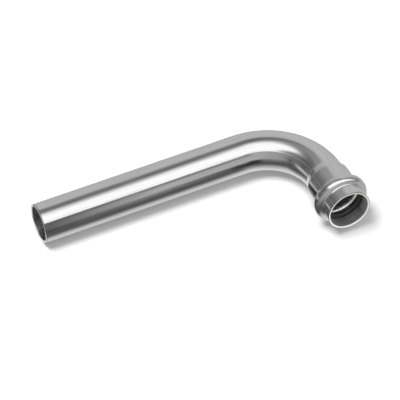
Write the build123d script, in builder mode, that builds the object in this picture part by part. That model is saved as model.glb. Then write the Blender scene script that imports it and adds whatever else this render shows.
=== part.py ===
from build123d import *
from math import atan2, hypot, tan
import os

os.makedirs("parts", exist_ok=True)

# Press-fit pipe bend, 90 degrees, with a long plain leg and one socket. All sizes are in mm.
# Origin: centre of the plain end. +X runs along the leg towards the bend, the socket opens
# towards -Y, and +Z is normal to the plane of the bend.

# Tube
tube_od = 22.0
wall = 1.2
leg_length = 119.0
bend_radius = 35.0
bend_angle = 90.0
end_rounding = 0.5

# Socket, from the mouth to the end of the bend
socket_clearance = 0.2
socket_depth = 25.3
expansion_length = 4.0
expansion_rounding = 3.0
neck_length = 1.2
mouth_rounding = 0.4

# Sealing ring. It stands a little into the bore and lies towards the mouth in its groove.
ring_section = 3.0
ring_protrusion = 0.1
ring_offset = 0.25

# Groove for the ring, formed by a bead rolled outwards in the wall
groove_centre = 10.7
groove_play = 0.25
groove_side_lean = 1.3
groove_crown_roundness = 0.7
bead_root_rounding = 1.3
bead_side_straight = 0.1

# Derived sizes
tube_radius = tube_od / 2
tube_bore_radius = tube_radius - wall
socket_bore_radius = tube_radius + socket_clearance
socket_radius = socket_bore_radius + wall
socket_length = socket_depth + expansion_length + neck_length
groove_depth = ring_section - ring_protrusion
groove_radius = socket_bore_radius + groove_depth
groove_crown_width = ring_section + groove_play
groove_foot_width = groove_crown_width + 2 * groove_side_lean
groove_crown_rounding = groove_depth * groove_crown_roundness
ring_radius = groove_radius - ring_section / 2
socket_x = leg_length + bend_radius
mouth_y = -bend_radius - socket_length

# Sketch plane of the socket's half section: x is the distance from its axis, y the distance
# from its mouth towards the bend.
section_plane = Plane(origin=(socket_x, mouth_y, 0), x_dir=(1, 0, 0), z_dir=(0, 0, 1))
socket_axis = Axis(origin=(socket_x, mouth_y, 0), direction=(0, 1, 0))

# How far the corners of a bent wall shift along it, per unit of wall thickness
expansion_miter = tan(atan2(socket_bore_radius - tube_bore_radius, expansion_length) / 2)
bead_miter = tan(atan2(groove_depth, groove_side_lean) / 2)

# The roundings at the root and the crown share the bead's side, which keeps a short straight part.
bead_side_length = hypot(groove_depth, groove_side_lean)
root_room = (bead_side_length - bead_side_straight) / bead_miter - groove_crown_rounding - wall
root_rounding = min(bead_root_rounding, root_room)


def socket_section(offset):
    """Half section of the socket, filled to its axis. Offset 0 follows the wall's inner face,
    and an offset of the whole wall follows its outer face."""
    bore = socket_bore_radius + offset
    neck = tube_bore_radius + offset
    crown = groove_radius + offset
    half_foot = groove_foot_width / 2 + offset * bead_miter
    half_crown = groove_crown_width / 2 + offset * bead_miter
    taper_start = socket_depth + offset * expansion_miter
    taper_end = taper_start + expansion_length
    bulging_corners = [
        (crown, groove_centre - half_crown, groove_crown_rounding + offset),
        (crown, groove_centre + half_crown, groove_crown_rounding + offset),
        (bore, taper_start, expansion_rounding - wall + offset),
    ]
    hollow_corners = [
        (bore, groove_centre - half_foot, root_rounding + wall - offset),
        (bore, groove_centre + half_foot, root_rounding + wall - offset),
        (neck, taper_end, expansion_rounding + wall - offset),
    ]
    with BuildSketch(section_plane) as section:
        with BuildLine():
            Polyline(
                (0, 0),
                (bore, 0),
                (bore, groove_centre - half_foot),
                (crown, groove_centre - half_crown),
                (crown, groove_centre + half_crown),
                (bore, groove_centre + half_foot),
                (bore, taper_start),
                (neck, taper_end),
                (neck, socket_length),
                (0, socket_length),
                close=True,
            )
        make_face()
        for x, y, rounding in bulging_corners + hollow_corners:
            fillet(section.vertices().sort_by_distance((x, y))[0], rounding)
    return section.sketch


with BuildLine() as centreline:
    leg_line = Line((0, 0), (leg_length, 0))
    JernArc(start=leg_line @ 1, tangent=leg_line % 1, radius=bend_radius, arc_size=-bend_angle)

# The steel body is one formed tube: leg, bend, expansion, bead and lip.
with BuildPart() as elbow_body:
    with BuildSketch(Plane.YZ):
        Circle(tube_radius)
    sweep(path=centreline.wire())
    revolve(socket_section(wall), axis=socket_axis)
    with BuildSketch(Plane.YZ):
        Circle(tube_bore_radius)
    sweep(path=centreline.wire(), mode=Mode.SUBTRACT)
    revolve(socket_section(0), axis=socket_axis, mode=Mode.SUBTRACT)
    fillet(elbow_body.edges().group_by(Axis.X)[0], end_rounding)
    fillet(elbow_body.edges().group_by(Axis.Y)[0], mouth_rounding)

# Round-section rubber ring, seated against the crown of the bead's groove
with BuildPart() as sealing_ring:
    with BuildSketch(section_plane):
        with Locations((ring_radius, groove_centre - ring_offset)):
            Circle(ring_section / 2)
    revolve(axis=socket_axis)

elbow_body.part.label = "elbow_body"
sealing_ring.part.label = "sealing_ring"
export_step(elbow_body.part, "parts/elbow_body.step")
export_step(sealing_ring.part, "parts/sealing_ring.step")
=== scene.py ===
import bpy
from math import acos, atan2, cos, pi, radians, sin, sqrt, tan
from mathutils import Matrix, Vector


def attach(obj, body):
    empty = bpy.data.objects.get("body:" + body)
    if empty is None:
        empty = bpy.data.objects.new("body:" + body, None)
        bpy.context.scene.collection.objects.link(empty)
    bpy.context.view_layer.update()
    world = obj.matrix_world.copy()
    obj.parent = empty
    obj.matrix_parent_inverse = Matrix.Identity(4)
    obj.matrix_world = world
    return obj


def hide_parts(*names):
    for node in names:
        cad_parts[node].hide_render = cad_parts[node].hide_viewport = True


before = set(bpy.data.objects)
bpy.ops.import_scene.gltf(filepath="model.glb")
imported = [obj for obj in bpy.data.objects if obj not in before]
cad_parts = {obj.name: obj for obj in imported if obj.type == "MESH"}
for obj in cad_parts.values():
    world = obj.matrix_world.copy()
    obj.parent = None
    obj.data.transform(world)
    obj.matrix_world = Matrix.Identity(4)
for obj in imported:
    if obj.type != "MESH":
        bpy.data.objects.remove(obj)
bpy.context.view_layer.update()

# ---------------------------------------------------------------- sizes, in metres
TUBE_RADIUS = 0.0110
WALL = 0.0012
LEG_LENGTH = 0.119
BEND_RADIUS = 0.035
SOCKET_DEPTH = 0.0253
EXPANSION_LENGTH = 0.004
SOCKET_LENGTH = 0.0305
SOCKET_BORE = 0.0112
GROOVE_CENTRE = 0.0107
GROOVE_DEPTH = 0.0029
GROOVE_CROWN_WIDTH = 0.00325
GROOVE_FOOT_WIDTH = 0.00585
GROOVE_ROUNDING = 0.00203
ROOT_ROUNDING = 0.0013
EXPANSION_ROUNDING = 0.003
END_ROUNDING = 0.0005
MOUTH_ROUNDING = 0.0004
RING_SECTION = 0.003
RING_OFFSET = 0.00025

BEND_LENGTH = BEND_RADIUS * pi / 2
PATH_LENGTH = LEG_LENGTH + BEND_LENGTH + SOCKET_LENGTH
SEAM_ANGLE = radians(139.0)      # where the weld runs, from the outside of the bend over the top


# ---------------------------------------------------------------- the wall's outline
def rounded(points, radii, step=0.00022):
    """The open outline through the points, with each inner corner replaced by an arc."""
    out = [points[0]]
    for i in range(1, len(points) - 1):
        here = Vector(points[i])
        before = (Vector(points[i - 1]) - here).normalized()
        after = (Vector(points[i + 1]) - here).normalized()
        radius = radii[i]
        if radius <= 0.0:
            out.append(tuple(here))
            continue
        half = acos(max(-1.0, min(1.0, before.dot(after)))) / 2
        middle = here + (before + after).normalized() * (radius / sin(half))
        first = here + before * (radius / tan(half)) - middle
        last = here + after * (radius / tan(half)) - middle
        turn = pi - 2 * half
        steps = max(4, int(turn * radius / step))
        side = 1.0 if first.x * last.y - first.y * last.x > 0 else -1.0
        for k in range(steps + 1):
            a = side * turn * k / steps
            out.append((middle.x + first.x * cos(a) - first.y * sin(a),
                        middle.y + first.x * sin(a) + first.y * cos(a)))
    out.append(points[-1])
    return out


def wall_side(offset):
    """One face of the wall from the plain end to the mouth, as (distance along the axis, radius).

    Offset 0 is the inner face and WALL the outer face."""
    expansion_miter = tan(atan2(SOCKET_BORE - TUBE_RADIUS + WALL, EXPANSION_LENGTH) / 2)
    lean = (GROOVE_FOOT_WIDTH - GROOVE_CROWN_WIDTH) / 2
    bead_miter = tan(atan2(GROOVE_DEPTH, lean) / 2)
    bore = SOCKET_BORE + offset
    neck = TUBE_RADIUS - WALL + offset
    crown = SOCKET_BORE + GROOVE_DEPTH + offset
    foot = GROOVE_FOOT_WIDTH / 2 + offset * bead_miter
    top = GROOVE_CROWN_WIDTH / 2 + offset * bead_miter
    taper = SOCKET_DEPTH + offset * expansion_miter
    mouth = PATH_LENGTH
    root = ROOT_ROUNDING + WALL - offset
    points = [
        (0.0, neck),
        (mouth - taper - EXPANSION_LENGTH, neck),
        (mouth - taper, bore),
        (mouth - GROOVE_CENTRE - foot, bore),
        (mouth - GROOVE_CENTRE - top, crown),
        (mouth - GROOVE_CENTRE + top, crown),
        (mouth - GROOVE_CENTRE + foot, bore),
        (mouth, bore),
    ]
    radii = [
        0.0,
        EXPANSION_ROUNDING + WALL - offset,
        EXPANSION_ROUNDING - WALL + offset,
        root,
        GROOVE_ROUNDING + offset,
        GROOVE_ROUNDING + offset,
        root,
        0.0,
    ]
    return points, radii


def wall_outline():
    """The closed outline of the whole wall: outside, mouth rim, inside, plain rim."""
    outer, outer_radii = wall_side(WALL)
    inner, inner_radii = wall_side(0.0)
    points = outer + inner[::-1]
    radii = outer_radii + inner_radii[::-1]
    last = len(outer) - 1
    radii[last] = radii[last + 1] = MOUTH_ROUNDING
    radii[0] = radii[-1] = END_ROUNDING
    # the loop is opened in the middle of the plain rim, so that every corner is an inner one
    start = (0.0, TUBE_RADIUS - WALL / 2)
    loop = rounded([start] + points + [start], [0.0] + radii + [0.0])[:-1]
    dense = []
    for i, (s, r) in enumerate(loop):
        s2, r2 = loop[(i + 1) % len(loop)]
        gap = sqrt((s2 - s) ** 2 + (r2 - r) ** 2)
        dense.append((s, r))
        if gap > 0.0012:
            edge = 0.00015
            steps = max(1, int((gap - 2 * edge) / 0.0015))
            for k in range(steps + 1):
                t = (edge + (gap - 2 * edge) * k / steps) / gap
                dense.append((s + (s2 - s) * t, r + (r2 - r) * t))
    mouth_mid = SOCKET_BORE + WALL / 2
    outer_count = next(i for i, (s, r) in enumerate(dense) if s > PATH_LENGTH - 1e-6 and r < mouth_mid)
    return dense, outer_count


def on_path(s):
    """Position, direction towards the outside of the bend, and direction of travel at s."""
    if s <= LEG_LENGTH:
        return Vector((s, 0, 0)), Vector((0, 1, 0)), Vector((1, 0, 0))
    a = (s - LEG_LENGTH) / BEND_RADIUS
    if a < pi / 2:
        out = Vector((sin(a), cos(a), 0))
        return Vector((LEG_LENGTH, -BEND_RADIUS, 0)) + BEND_RADIUS * out, out, Vector((cos(a), -sin(a), 0))
    rest = s - LEG_LENGTH - BEND_LENGTH
    return Vector((LEG_LENGTH + BEND_RADIUS, -BEND_RADIUS - rest, 0)), Vector((1, 0, 0)), Vector((0, -1, 0))


def lathe_mesh(name, rings, segments):
    """A closed mesh from rings of points (each ring is a list of `segments` vectors)."""
    verts = [p for ring in rings for p in ring]
    faces = []
    count = len(rings)
    for i in range(count):
        a = i * segments
        b = ((i + 1) % count) * segments
        for j in range(segments):
            k = (j + 1) % segments
            faces.append((a + j, a + k, b + k, b + j))
    mesh = bpy.data.meshes.new(name)
    mesh.from_pydata(verts, [], faces)
    mesh.validate()
    mesh.polygons.foreach_set("use_smooth", [True] * len(mesh.polygons))
    obj = bpy.data.objects.new(name, mesh)
    bpy.context.scene.collection.objects.link(obj)
    return obj


def add_uv(obj, along, around):
    """UVs of a swept tube: u is the distance along it in metres, v goes once around it."""
    mesh = obj.data
    layer = mesh.uv_layers.new(name="UVMap")
    segments = len(around)
    for poly in mesh.polygons:
        i = poly.index // segments
        j = poly.index % segments
        next_i = (i + 1) % len(along)
        next_v = around[j + 1] if j + 1 < segments else around[0] + 1.0
        corners = ((along[i], around[j]), (along[i], next_v),
                   (along[next_i], next_v), (along[next_i], around[j]))
        for loop, corner in zip(poly.loop_indices, corners):
            layer.data[loop].uv = corner


# Angles around the tube from the weld seam, close together across the weld
SEAM_ANGLES = [-2.4, -1.2, -0.6, 0.0, 0.6, 1.2, 2.4]
SEAM_RISES = [0.0, 0.000008, 0.00003, 0.00004, 0.00003, 0.000008, 0.0]
angles = SEAM_ANGLES + [4.8 + 350.4 * k / 140 for k in range(141)]
rises = SEAM_RISES + [0.0] * 141
SEGMENTS = len(angles)
outline, outer_count = wall_outline()
rings = []
for i, (s, r) in enumerate(outline):
    p, out, travel = on_path(min(max(s, 0.0), PATH_LENGTH))
    away = 1.0 if i < outer_count else -1.0
    ring = []
    for angle, rise in zip(angles, rises):
        a = radians(angle) + SEAM_ANGLE
        rr = r + away * rise
        ring.append(p + out * (rr * cos(a)) + Vector((0, 0, rr * sin(a))))
    rings.append(ring)
body = lathe_mesh("elbow_body_formed_tube", rings, SEGMENTS)
add_uv(body, [s for s, r in outline], [angle / 360.0 for angle in angles])
# Material slots of the steel body, in the order in which the materials are added below
DRAWN, BORE, CUT, WELD, PAINTED_DARK_EDGE, SOCKET = range(6)
WELD_SEGMENTS = (1, 2, 3, 4)
LIP_START = PATH_LENGTH - GROOVE_CENTRE + GROOVE_FOOT_WIDTH / 2
for poly in body.data.polygons:
    is_outside = poly.index // SEGMENTS < outer_count
    s = outline[poly.index // SEGMENTS][0]
    poly.material_index = DRAWN if is_outside else BORE
    if s < END_ROUNDING * 0.12 or s > PATH_LENGTH - MOUTH_ROUNDING * 0.12:
        poly.material_index = CUT
    # painted dark reflection: the outer rounded edges at both ends get a near-black steel, in place of the
    # dark they would mirror
    elif is_outside and (s < END_ROUNDING * 0.8 or s > PATH_LENGTH - MOUTH_ROUNDING * 0.8):
        poly.material_index = PAINTED_DARK_EDGE
    elif not is_outside and s > LIP_START:
        poly.material_index = SOCKET
    elif is_outside and poly.index % SEGMENTS in WELD_SEGMENTS:
        poly.material_index = WELD
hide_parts("elbow_body")
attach(body, "root")

# ---------------------------------------------------------------- sealing ring
ring_y = -BEND_RADIUS - SOCKET_LENGTH + GROOVE_CENTRE - RING_OFFSET
ring_centre = Vector((LEG_LENGTH + BEND_RADIUS, ring_y, 0))
ring_radius = SOCKET_BORE + GROOVE_DEPTH - RING_SECTION / 2
rings = []
RING_SEGMENTS = 160
# Angles round the section from its outermost point; the mould's parting line shows on the inside
FLASH_ANGLES = [176.0, 178.0, 179.2, 180.0, 180.8, 182.0, 184.0]
FLASH_RISES = [0.0, 0.000012, 0.00003, 0.00004, 0.00003, 0.000012, 0.0]
section_angles = [9.0 * k for k in range(20)] + FLASH_ANGLES + [9.0 * k for k in range(21, 40)]
section_rises = [0.0] * 20 + FLASH_RISES + [0.0] * 19
for angle, rise in zip(section_angles, section_rises):
    reach = RING_SECTION / 2 + rise
    r = ring_radius + reach * cos(radians(angle))
    y = reach * sin(radians(angle))
    ring = []
    for j in range(RING_SEGMENTS):
        a = 2 * pi * j / RING_SEGMENTS
        ring.append(ring_centre + Vector((r * cos(a), y, r * sin(a))))
    rings.append(ring)
seal = lathe_mesh("sealing_ring_moulded", rings, RING_SEGMENTS)
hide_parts("sealing_ring")
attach(seal, "root")


# ---------------------------------------------------------------- materials
def new_material(name):
    mat = bpy.data.materials.new(name)
    mat.use_nodes = True
    return mat, mat.node_tree.nodes, mat.node_tree.links


def ramp(nodes, stops):
    """A colour ramp; each stop is (place, grey level or colour)."""
    node = nodes.new("ShaderNodeValToRGB")
    elements = node.color_ramp.elements
    while len(elements) < len(stops):
        elements.new(0.5)
    for element, (place, value) in zip(elements, stops):
        element.position = place
        element.color = (value, value, value, 1.0) if not isinstance(value, tuple) else value + (1.0,)
    return node


def steel_material(name, rough_low, rough_high, dark, light, bump_strength, grain_scale):
    """Stainless with grain along the tube, in its tone and its surface, and a cloudy roughness."""
    mat, nodes, links = new_material(name)
    shader = nodes["Principled BSDF"]
    shader.inputs["Metallic"].default_value = 1.0
    uv = nodes.new("ShaderNodeUVMap")
    stretch = nodes.new("ShaderNodeMapping")
    stretch.inputs["Scale"].default_value = grain_scale + (1.0,)
    links.new(uv.outputs["UV"], stretch.inputs["Vector"])
    grain = nodes.new("ShaderNodeTexNoise")
    grain.inputs["Scale"].default_value = 1.0
    grain.inputs["Detail"].default_value = 4.0
    links.new(stretch.outputs["Vector"], grain.inputs["Vector"])
    place = nodes.new("ShaderNodeTexCoord")
    cloud = nodes.new("ShaderNodeTexNoise")
    cloud.inputs["Scale"].default_value = 60.0
    cloud.inputs["Detail"].default_value = 3.0
    links.new(place.outputs["Object"], cloud.inputs["Vector"])
    tone = ramp(nodes, [(0.3, dark), (0.7, light)])
    links.new(grain.outputs["Fac"], tone.inputs["Fac"])
    links.new(tone.outputs["Color"], shader.inputs["Base Color"])
    rough = nodes.new("ShaderNodeMapRange")
    rough.inputs["From Min"].default_value = 0.3
    rough.inputs["From Max"].default_value = 0.7
    rough.inputs["To Min"].default_value = rough_low
    rough.inputs["To Max"].default_value = rough_high
    links.new(cloud.outputs["Fac"], rough.inputs["Value"])
    links.new(rough.outputs["Result"], shader.inputs["Roughness"])
    bump = nodes.new("ShaderNodeBump")
    bump.inputs["Strength"].default_value = bump_strength
    bump.inputs["Distance"].default_value = 0.00003
    links.new(grain.outputs["Fac"], bump.inputs["Height"])
    links.new(bump.outputs["Normal"], shader.inputs["Normal"])
    return mat


def rubber_material():
    """Matte black rubber with fine specks."""
    mat, nodes, links = new_material("seal_rubber_moulded")
    shader = nodes["Principled BSDF"]
    place = nodes.new("ShaderNodeTexCoord")
    speck = nodes.new("ShaderNodeTexNoise")
    speck.inputs["Scale"].default_value = 900.0
    speck.inputs["Detail"].default_value = 3.0
    links.new(place.outputs["Object"], speck.inputs["Vector"])
    tone = ramp(nodes, [(0.3, (0.035, 0.035, 0.036)), (0.75, (0.07, 0.07, 0.071))])
    links.new(speck.outputs["Fac"], tone.inputs["Fac"])
    links.new(tone.outputs["Color"], shader.inputs["Base Color"])
    rough = nodes.new("ShaderNodeMapRange")
    rough.inputs["To Min"].default_value = 0.38
    rough.inputs["To Max"].default_value = 0.55
    links.new(speck.outputs["Fac"], rough.inputs["Value"])
    links.new(rough.outputs["Result"], shader.inputs["Roughness"])
    bump = nodes.new("ShaderNodeBump")
    bump.inputs["Strength"].default_value = 0.15
    bump.inputs["Distance"].default_value = 0.00005
    links.new(speck.outputs["Fac"], bump.inputs["Height"])
    links.new(bump.outputs["Normal"], shader.inputs["Normal"])
    return mat


# Name, roughness from and to, darkest and lightest tone, depth of the grain, and its scale
STEELS = [
    ("drawn_stainless", 0.12, 0.20, (0.595, 0.592, 0.592), (0.695, 0.692, 0.692), 0.6, (45.0, 110.0)),
    ("bore_stainless", 0.20, 0.30, (0.66, 0.66, 0.655), (0.96, 0.96, 0.955), 0.8, (12.0, 90.0)),
    ("cut_stainless", 0.28, 0.36, (0.78, 0.78, 0.775), (0.90, 0.90, 0.895), 0.3, (45.0, 110.0)),
    ("weld_stainless", 0.30, 0.42, (0.64, 0.64, 0.635), (0.80, 0.80, 0.795), 0.8, (260.0, 60.0)),
    # the next steel is near-black: painted dark reflection on the rounded outer edges of both ends
    ("painted_dark_edge_stainless", 0.25, 0.35, (0.16, 0.16, 0.158), (0.28, 0.28, 0.277), 0.3, (45.0, 110.0)),
    ("socket_stainless", 0.36, 0.46, (0.78, 0.78, 0.775), (1.0, 1.0, 0.995), 0.5, (12.0, 90.0)),
]
for steel in STEELS:
    body.data.materials.append(steel_material(*steel))
seal.data.materials.append(rubber_material())

# ---------------------------------------------------------------- floor
# The bend lies on its leg and on its bead, so the floor leans a little against its own frame.
REST_TILT = radians(4.5)
floor_normal = Vector((0, -sin(REST_TILT), cos(REST_TILT)))
floor_matrix = Matrix.Translation(-TUBE_RADIUS * floor_normal) @ Matrix.Rotation(REST_TILT, 4, "X")


def plane(name, width, depth, material, matrix, centre=(0, 0, 0), cuts=1):
    """A flat sheet of the set, cut into cuts by cuts squares."""
    verts = []
    for j in range(cuts + 1):
        for i in range(cuts + 1):
            x = centre[0] + width * (i / cuts - 0.5)
            y = centre[1] + depth * (j / cuts - 0.5)
            verts.append((x, y, centre[2]))
    row = cuts + 1
    faces = [(j * row + i, j * row + i + 1, (j + 1) * row + i + 1, (j + 1) * row + i)
             for j in range(cuts) for i in range(cuts)]
    mesh = bpy.data.meshes.new(name)
    mesh.from_pydata(verts, [], faces)
    obj = bpy.data.objects.new(name, mesh)
    bpy.context.scene.collection.objects.link(obj)
    obj.matrix_world = matrix
    mesh.materials.append(material)
    return obj


floor_mat, nodes, links = new_material("floor_pale")
nodes["Principled BSDF"].inputs["Base Color"].default_value = (0.65, 0.65, 0.65, 1)
nodes["Principled BSDF"].inputs["Roughness"].default_value = 0.9
nodes["Principled BSDF"].inputs["Specular IOR Level"].default_value = 0.1
floor = plane("floor", 8.0, 8.0, floor_mat, floor_matrix, centre=(0.1, 0, 0))
floor.visible_glossy = False

# What the steel mirrors below the horizon: a sheet that gives off light and that only reflections
# see. It is light close to the tube and darker farther off, in the levels listed below.
sheen_mat, nodes, links = new_material("floor_sheen")
nodes.remove(nodes["Principled BSDF"])
glow = nodes.new("ShaderNodeEmission")
level = nodes.new("ShaderNodeAttribute")
level.attribute_name = "level"
links.new(level.outputs["Fac"], glow.inputs["Strength"])
links.new(glow.outputs["Emission"], nodes["Material Output"].inputs["Surface"])


def interpolate(table, x):
    """The table's value at x, on straight lines between its (x, value) rows."""
    for (x0, y0), (x1, y1) in zip(table, table[1:]):
        if x <= x1:
            return y0 + (y1 - y0) * max(0.0, x - x0) / (x1 - x0)
    return table[-1][1]


# Each level is (distance, brightness); the bend's is (distance along the tube, factor)
INSIDE_LEVELS = [(0.0, 0.8), (0.0132, 0.8), (0.020, 0.11), (0.032, 0.12), (0.05, 0.22), (0.10, 0.36),
                 (0.2, 0.45), (2.0, 0.5)]
OUTSIDE_LEVELS = [(0.0, 1.0), (0.012, 1.0), (0.020, 0.6), (2.0, 0.6)]
BEND_LEVELS = [(0.0, 1.0), (0.100, 1.0), (0.130, 1.15), (0.165, 1.15), (0.3, 1.0)]
MOUTH_LIGHT = Vector((LEG_LENGTH + BEND_RADIUS, -BEND_RADIUS - SOCKET_LENGTH - 0.018))
MOUTH_LEVELS = [(0.0, 0.4), (0.010, 0.4), (0.020, 0.0), (2.0, 0.0)]
path_points = []
for k in range(-3, 60):
    s = PATH_LENGTH * k / 56
    p, out, travel = on_path(min(max(s, 0.0), PATH_LENGTH))
    if s < 0.0 or s > PATH_LENGTH:
        p = p + travel * (s - min(max(s, 0.0), PATH_LENGTH))
    path_points.append((p, out, s))
sheen = plane("floor_sheen", 1.6, 1.6, sheen_mat, floor_matrix, centre=(0.1, 0, 0.00002), cuts=240)
levels = sheen.data.attributes.new("level", "FLOAT", "POINT")
values = []
for v in sheen.data.vertices:
    w = floor_matrix @ v.co
    best, side, place = 1e9, 1.0, 0.0
    for p, out, s in path_points:
        gap = Vector((w.x - p.x, w.y - p.y, 0))
        if gap.length < best:
            best, side, place = gap.length, gap.dot(out), s
    value = interpolate(OUTSIDE_LEVELS if side > 0 else INSIDE_LEVELS, best)
    if side < 0 and best < 0.018:
        value *= interpolate(BEND_LEVELS, place)
    mouth_gap = (Vector((w.x, w.y)) - MOUTH_LIGHT).length
    value += interpolate(MOUTH_LEVELS, mouth_gap)
    values.append(value)
levels.data.foreach_set("value", values)
sheen.visible_camera = False
sheen.visible_diffuse = False
sheen.visible_shadow = False
sheen.visible_transmission = False


# Two gauzes that darken what the steel mirrors: one in front of the leg's plain end, one inside the bend.
# Only reflections see them.
def fade(nodes, links, value, low, high, to_low, to_high):
    """The value mapped in a straight line from one range to another."""
    node = nodes.new("ShaderNodeMapRange")
    for field, number in zip(("From Min", "From Max", "To Min", "To Max"), (low, high, to_low, to_high)):
        node.inputs[field].default_value = number
    links.new(value, node.inputs["Value"])
    return node.outputs["Result"]


def gauze(name, width, depth, matrix, centre, darkest, fades):
    """A veil in its own XY plane; each fade is (axis, place where darkest, place where clear)."""
    mat, nodes, links = new_material(name)
    nodes.remove(nodes["Principled BSDF"])
    veil = nodes.new("ShaderNodeBsdfTransparent")
    place = nodes.new("ShaderNodeTexCoord")
    spot = nodes.new("ShaderNodeSeparateXYZ")
    links.new(place.outputs["Object"], spot.inputs["Vector"])
    clear = None
    for axis, dark_at, clear_at in fades:
        here = fade(nodes, links, spot.outputs[axis], dark_at, clear_at, darkest, 1.0)
        if clear is not None:
            most = nodes.new("ShaderNodeMath")
            most.operation = "MAXIMUM"
            links.new(clear, most.inputs[0])
            links.new(here, most.inputs[1])
            here = most.outputs[0]
        clear = here
    links.new(clear, veil.inputs["Color"])
    links.new(veil.outputs["BSDF"], nodes["Material Output"].inputs["Surface"])
    obj = plane(name, width, depth, mat, matrix, centre=centre)
    obj.visible_camera = False
    obj.visible_diffuse = False
    obj.visible_shadow = False
    obj.visible_transmission = False


UPRIGHT = Matrix.Rotation(pi / 2, 4, "X")
gauze("gauze_front", 0.16, 0.070, Matrix.Translation((0, -0.045, 0)) @ UPRIGHT, (0.01, 0.019, 0), 0.28,
      [("X", 0.010, 0.074), ("Y", 0.024, 0.037), ("X", -0.015, -0.05)])
across_the_bend = Matrix.Translation((0.127, -0.031, 0)) @ Matrix.Rotation(radians(45), 4, "Z") @ UPRIGHT
gauze("gauze_inside", 0.030, 0.016, across_the_bend, (0, -0.006, 0), 0.3,
      [("Y", -0.0045, 0.0), ("X", -0.007, -0.013), ("X", 0.010, 0.014)])

# ---------------------------------------------------------------- light
# The studio, which the steel mirrors: a diffuser overhead, walls and a ceiling of uneven brightness.
CAMERA_AZIMUTH = radians(-22.615)
world = bpy.data.worlds.new("studio")
bpy.context.scene.world = world
world.use_nodes = True
nodes, links = world.node_tree.nodes, world.node_tree.links


def math_node(operation, *values):
    """One math node of the world; each value is a number or an output."""
    node = nodes.new("ShaderNodeMath")
    node.operation = operation
    for socket, value in zip(node.inputs, values):
        if isinstance(value, (int, float)):
            socket.default_value = value
        else:
            links.new(value, socket)
    return node.outputs[0]


def smooth(value, low, high, to_low=0.0, to_high=1.0):
    """A soft step of the value between low and high."""
    node = nodes.new("ShaderNodeMapRange")
    node.interpolation_type = "SMOOTHSTEP"
    node.inputs["From Min"].default_value = low
    node.inputs["From Max"].default_value = high
    node.inputs["To Min"].default_value = to_low
    node.inputs["To Max"].default_value = to_high
    links.new(value, node.inputs["Value"])
    return node.outputs["Result"]


direction = nodes.new("ShaderNodeTexCoord")
parts = nodes.new("ShaderNodeSeparateXYZ")
links.new(direction.outputs["Generated"], parts.inputs["Vector"])
# the studio's own axes: right and front as the camera sees them, and up
right = math_node("ADD", math_node("MULTIPLY", parts.outputs["X"], cos(CAMERA_AZIMUTH)),
                  math_node("MULTIPLY", parts.outputs["Y"], sin(CAMERA_AZIMUTH)))
ahead = math_node("ADD", math_node("MULTIPLY", parts.outputs["X"], sin(CAMERA_AZIMUTH)),
                  math_node("MULTIPLY", parts.outputs["Y"], -cos(CAMERA_AZIMUTH)))
up = parts.outputs["Z"]
height = math_node("MULTIPLY", math_node("ARCSINE", up), 180 / pi)
turn = math_node("ADD", math_node("DIVIDE", math_node("ARCTAN2", right, ahead), 2 * pi), 0.5)
# Each wall or ceiling level is (direction in degrees, brightness)
WALLS = [(-180, 0.7), (-165, 0.62), (-150, 0.52), (-130, 0.43), (-118, 0.25), (-108, 0.16), (-90, 0.15),
         (-60, 0.24), (-35, 0.44), (0, 0.54), (30, 0.60), (42, 0.60), (60, 0.45), (90, 0.28), (130, 0.40),
         (155, 0.68), (180, 0.7)]
walls = ramp(nodes, [((angle + 180) / 360, value / 2) for angle, value in WALLS])
links.new(turn, walls.inputs["Fac"])
wall_level = math_node("MULTIPLY", walls.outputs["Color"], 2.0)
ceiling = smooth(math_node("SUBTRACT", height, math_node("MULTIPLY", right, 18.0)), 48.0, 60.0)
CEILING = [(-180, 0.22), (-165, 0.26), (-150, 0.34), (-135, 0.38), (-120, 0.22), (-105, 0.24), (-92, 0.42),
           (-72, 0.42), (-50, 0.50), (0, 0.54), (90, 0.40), (150, 0.22), (180, 0.22)]
ceiling_ramp = ramp(nodes, [((angle + 180) / 360, value / 2) for angle, value in CEILING])
links.new(turn, ceiling_ramp.inputs["Fac"])
ceiling_level = math_node("MULTIPLY", ceiling_ramp.outputs["Color"], 2.0)
room = math_node("ADD", math_node("MULTIPLY", wall_level, math_node("SUBTRACT", 1.0, ceiling)),
                 math_node("MULTIPLY", ceiling, ceiling_level))
# the diffuser's four edges, on a plane one metre up: (right, front) normal and distance out
EDGES = [(0.0, -1.0, -0.21, 0.31), (-0.58, -0.815, 0.30, 0.58), (-0.93, 0.37, 0.70, 0.96),
         (0.25, 0.97, 0.86, 1.55)]
across = math_node("DIVIDE", right, math_node("MAXIMUM", up, 0.05))
along = math_node("DIVIDE", ahead, math_node("MAXIMUM", up, 0.05))
panel = smooth(up, 0.05, 0.2)
for edge_right, edge_front, full, none in EDGES:
    over = math_node("ADD", math_node("MULTIPLY", across, edge_right),
                     math_node("MULTIPLY", along, edge_front))
    panel = math_node("MULTIPLY", panel, smooth(over, full, none, 1.0, 0.0))
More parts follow.
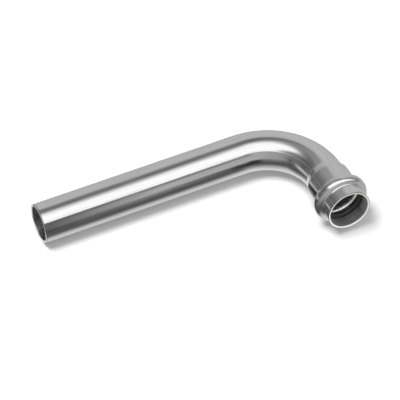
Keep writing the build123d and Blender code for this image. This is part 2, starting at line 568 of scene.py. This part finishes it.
# a dark gap between the diffuser and the wall, to the right of the camera
gap = math_node("MULTIPLY", math_node("MULTIPLY", smooth(over, 1.35, 1.7), smooth(over, 1.9, 2.9, 1.0, 0.0)),
                smooth(across, 0.7, 1.15))
room = math_node("MULTIPLY", room, math_node("SUBTRACT", 1.0, math_node("MULTIPLY", gap, 0.55)))
level = math_node("ADD", math_node("MULTIPLY", room, math_node("SUBTRACT", 1.0, panel)),
                  math_node("MULTIPLY", panel, 1.52))
# the camera itself sees a white background
seen = nodes.new("ShaderNodeLightPath").outputs["Is Camera Ray"]
level = math_node("MAXIMUM", level, seen)
links.new(level, nodes["Background"].inputs["Strength"])
nodes["Background"].inputs["Color"].default_value = (1.0, 1.0, 1.0, 1.0)

# The key light hangs overhead and only shapes the shadow: the steel doesn't mirror it.
key_data = bpy.data.lights.new("key", "AREA")
key_data.shape = "DISK"
key_data.size = 0.62
key_data.energy = 18.0
key = bpy.data.objects.new("key", key_data)
bpy.context.scene.collection.objects.link(key)
key.location = (-0.24, 0.06, 1.15)
key.rotation_euler = (Vector(key.location) - Vector((0.1, -0.02, 0))).to_track_quat("Z", "Y").to_euler()
key.visible_glossy = False

# ---------------------------------------------------------------- camera
camera_data = bpy.data.cameras.new("camera")
camera_data.sensor_width = 36.0
camera_data.lens = 292.3
camera_data.clip_end = 20.0
camera = bpy.data.objects.new("camera", camera_data)
bpy.context.scene.collection.objects.link(camera)
CAMERA_AIM = Vector((0.09443, -0.00068, -0.02353))
CAMERA_ELEVATION = radians(45.01)
CAMERA_ROLL = radians(-2.74)
CAMERA_DISTANCE = 1.789
back = Vector((sin(CAMERA_AZIMUTH) * cos(CAMERA_ELEVATION), -cos(CAMERA_AZIMUTH) * cos(CAMERA_ELEVATION),
               sin(CAMERA_ELEVATION)))
camera.matrix_world = (Matrix.Translation(CAMERA_AIM + back * CAMERA_DISTANCE)
                       @ back.to_track_quat("Z", "Y").to_matrix().to_4x4()
                       @ Matrix.Rotation(CAMERA_ROLL, 4, "Z"))
bpy.context.scene.camera = camera
bpy.context.scene.view_settings.view_transform = "Standard"
